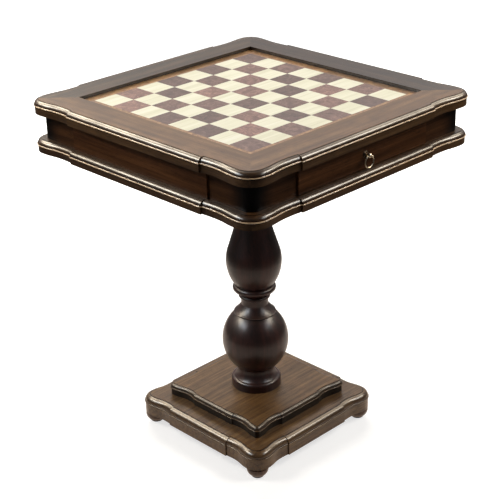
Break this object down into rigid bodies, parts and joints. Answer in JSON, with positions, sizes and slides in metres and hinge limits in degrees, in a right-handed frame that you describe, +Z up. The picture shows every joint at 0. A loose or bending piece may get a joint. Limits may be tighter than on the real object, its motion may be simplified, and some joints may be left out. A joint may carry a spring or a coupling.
{
  "type": "chess table",
  "caption": "Square pedestal table with a recessed inlaid chessboard, serpentine moulded edges, a shallow drawer with a ring pull, and a turned column on a two-tier base with bun feet.",
  "frame": {"origin": "on the floor under the middle of the table, the bottom centre of the bounding box", "axes": "+Z up; the drawer front faces -Y; +X to the right for a person who faces the drawer"},
  "size_m": [0.636, 0.6378, 0.754],
  "materials": {
    "walnut_top": "satin lacquered walnut brown, grain along each rail",
    "walnut_case": "satin lacquered dark walnut",
    "walnut_moulding": "satin lacquered walnut brown, grain along each rail",
    "walnut_base": "satin lacquered walnut brown",
    "dark_turning": "semi-gloss, very dark brown stain",
    "dark_burl": "gloss lacquered red-brown burl veneer",
    "light_veneer": "gloss lacquered cream veneer",
    "border_burl": "gloss lacquered golden burl veneer",
    "secondary_wood": "plain sanded hardwood",
    "plywood": "plain plywood",
    "brass": "aged brass",
    "steel": "zinc plated steel",
    "felt": "green felt",
    "glide_plastic": "black plastic"
  },
  "bodies": {
    "table": {"back_panel": "walnut_case", "base_lower_tier": "walnut_base", "base_screws": "steel", "base_upper_tier": "walnut_base", "bearer_screws": "steel", "board_core": "plywood", "border_strip_back": "border_burl", "border_strip_front": "border_burl", "border_strip_left": "border_burl", "border_strip_right": "border_burl", "bun_foot_back_left": "walnut_base", "bun_foot_back_right": "walnut_base", "bun_foot_front_left": "walnut_base", "bun_foot_front_right": "walnut_base", "case_bottom": "plywood", "column_ball": "dark_turning", "column_bearer": "secondary_wood", "column_cap": "dark_turning", "column_collar": "dark_turning", "column_foot": "dark_turning", "column_vase": "dark_turning", "corner_post_back_left": "walnut_case", "corner_post_back_right": "walnut_case", "corner_post_front_left": "walnut_case", "corner_post_front_right": "walnut_case", "dark_squares": "dark_burl", "drawer_kicker_left": "secondary_wood", "drawer_kicker_right": "secondary_wood", "drawer_runner_left": "secondary_wood", "drawer_runner_right": "secondary_wood", "drawer_stops": "secondary_wood", "foot_bolts": "steel", "foot_glides": "glide_plastic", "light_squares": "light_veneer", "lower_rail_back": "walnut_moulding", "lower_rail_front": "walnut_moulding", "lower_rail_left": "walnut_moulding", "lower_rail_right": "walnut_moulding", "mitre_splines": "plywood", "side_panel_left": "walnut_case", "side_panel_right": "walnut_case", "tie_rod": "steel", "tie_rod_nuts": "steel", "tie_rod_washers": "steel", "top_fixing_blocks": "secondary_wood", "top_rail_back": "walnut_top", "top_rail_front": "walnut_top", "top_rail_left": "walnut_top", "top_rail_right": "walnut_top", "top_screws": "steel"},
    "drawer": {"drawer_back": "secondary_wood", "drawer_bottom": "plywood", "drawer_front": "walnut_case", "drawer_lining": "felt", "drawer_side_left": "secondary_wood", "drawer_side_right": "secondary_wood", "pull_backplate": "brass", "pull_nut": "brass", "pull_post": "brass"},
    "pull_ring": {"pull_ring": "brass"}
  },
  "joints": [
    {"name": "drawer_slide", "type": "slide", "parent": "table", "child": "drawer", "axis": [0, -1, 0], "range_m": [0, 0.24]},
    {"name": "pull_swing", "type": "hinge", "parent": "drawer", "child": "pull_ring", "pos_m": [0, -0.311, 0.701], "axis": [-1, 0, 0], "range_deg": [-18, 155]}
  ]
}
